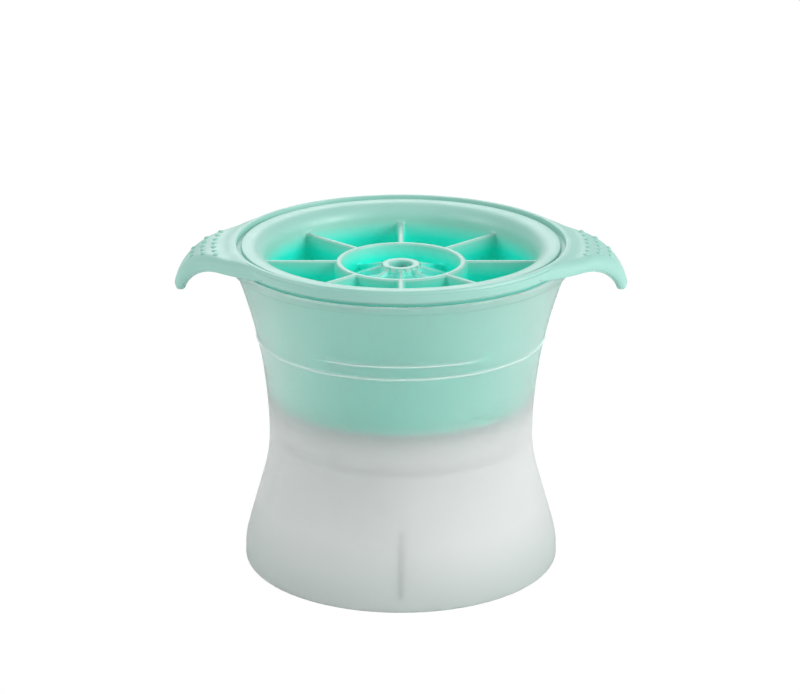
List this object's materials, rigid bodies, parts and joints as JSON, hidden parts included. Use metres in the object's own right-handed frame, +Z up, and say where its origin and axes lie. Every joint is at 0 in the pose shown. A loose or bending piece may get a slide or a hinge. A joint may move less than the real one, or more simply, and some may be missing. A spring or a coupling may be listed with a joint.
{
  "type": "single-ball ice mould",
  "caption": "Mould for one round ice ball: a waisted frosted cup with a half-ball bowl inside, and a soft ribbed cap with two hooked grips that plugs into it and holds the upper half.",
  "frame": {"origin": "centre of the foot ring, on the surface that the mould stands on", "axes": "+Z up, +X towards one grip, so the two grips lie along X; the short fill mark faces -Y"},
  "size_m": [0.1086, 0.0816, 0.08],
  "materials": {
    "cup": "frosted, translucent",
    "cap": "satin silicone"
  },
  "bodies": {
    "cup": {"base_cup": "cup"},
    "cap": {"silicone_cap": "cap"}
  },
  "joints": [
    {"name": "cap_lift", "type": "slide", "parent": "cup", "child": "cap", "axis": [0, 0, 1], "range_m": [0, 0.05]}
  ]
}
